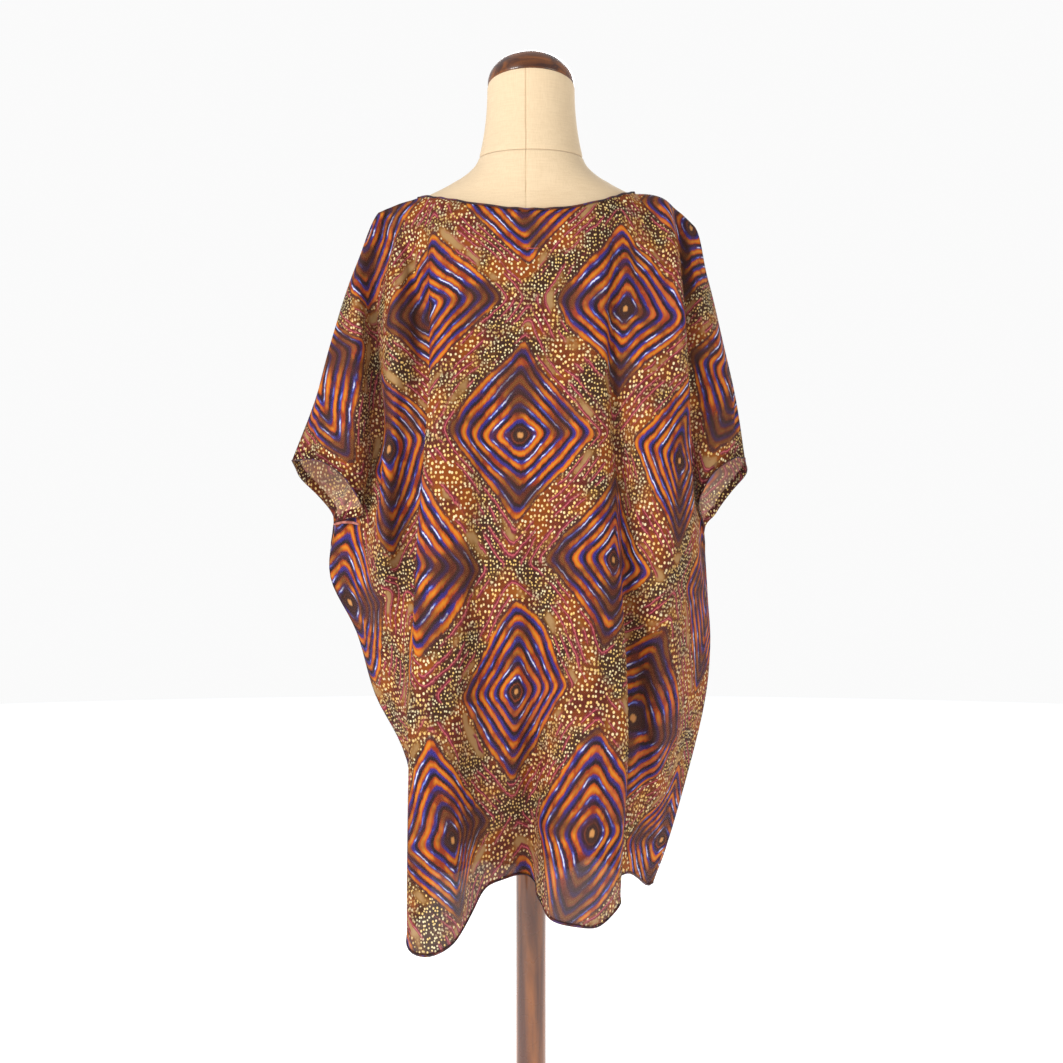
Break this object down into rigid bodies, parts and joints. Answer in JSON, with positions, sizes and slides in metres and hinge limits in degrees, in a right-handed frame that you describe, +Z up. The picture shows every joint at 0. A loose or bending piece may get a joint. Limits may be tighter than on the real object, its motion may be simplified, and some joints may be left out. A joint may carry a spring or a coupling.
{
  "type": "kaftan on a dress form",
  "caption": "Wide hip-length kaftan with a boat neck, open sleeve ends and a lobed hem, hanging from a linen-covered dress form on a turned wooden stand.",
  "frame": {"origin": "centre of the stand foot's underside, on the floor", "axes": "+Z up; the garment's back faces -Y and its front +Y; +X is to the wearer's right"},
  "size_m": [0.549, 0.38, 1.5719],
  "materials": {
    "kaftan_cloth": "light sheer woven cloth with a printed allover pattern",
    "neck_binding": "narrow dark rolled hem",
    "form_linen": "plain cream linen",
    "varnished_wood": "glossy brown varnish"
  },
  "bodies": {
    "root": {"kaftan_back": "kaftan_cloth", "kaftan_front": "kaftan_cloth", "neck_binding": "neck_binding", "form_body": "form_linen", "form_neck": "form_linen", "neck_cap": "varnished_wood", "stand_post": "varnished_wood", "stand_foot": "varnished_wood"}
  },
  "joints": []
}
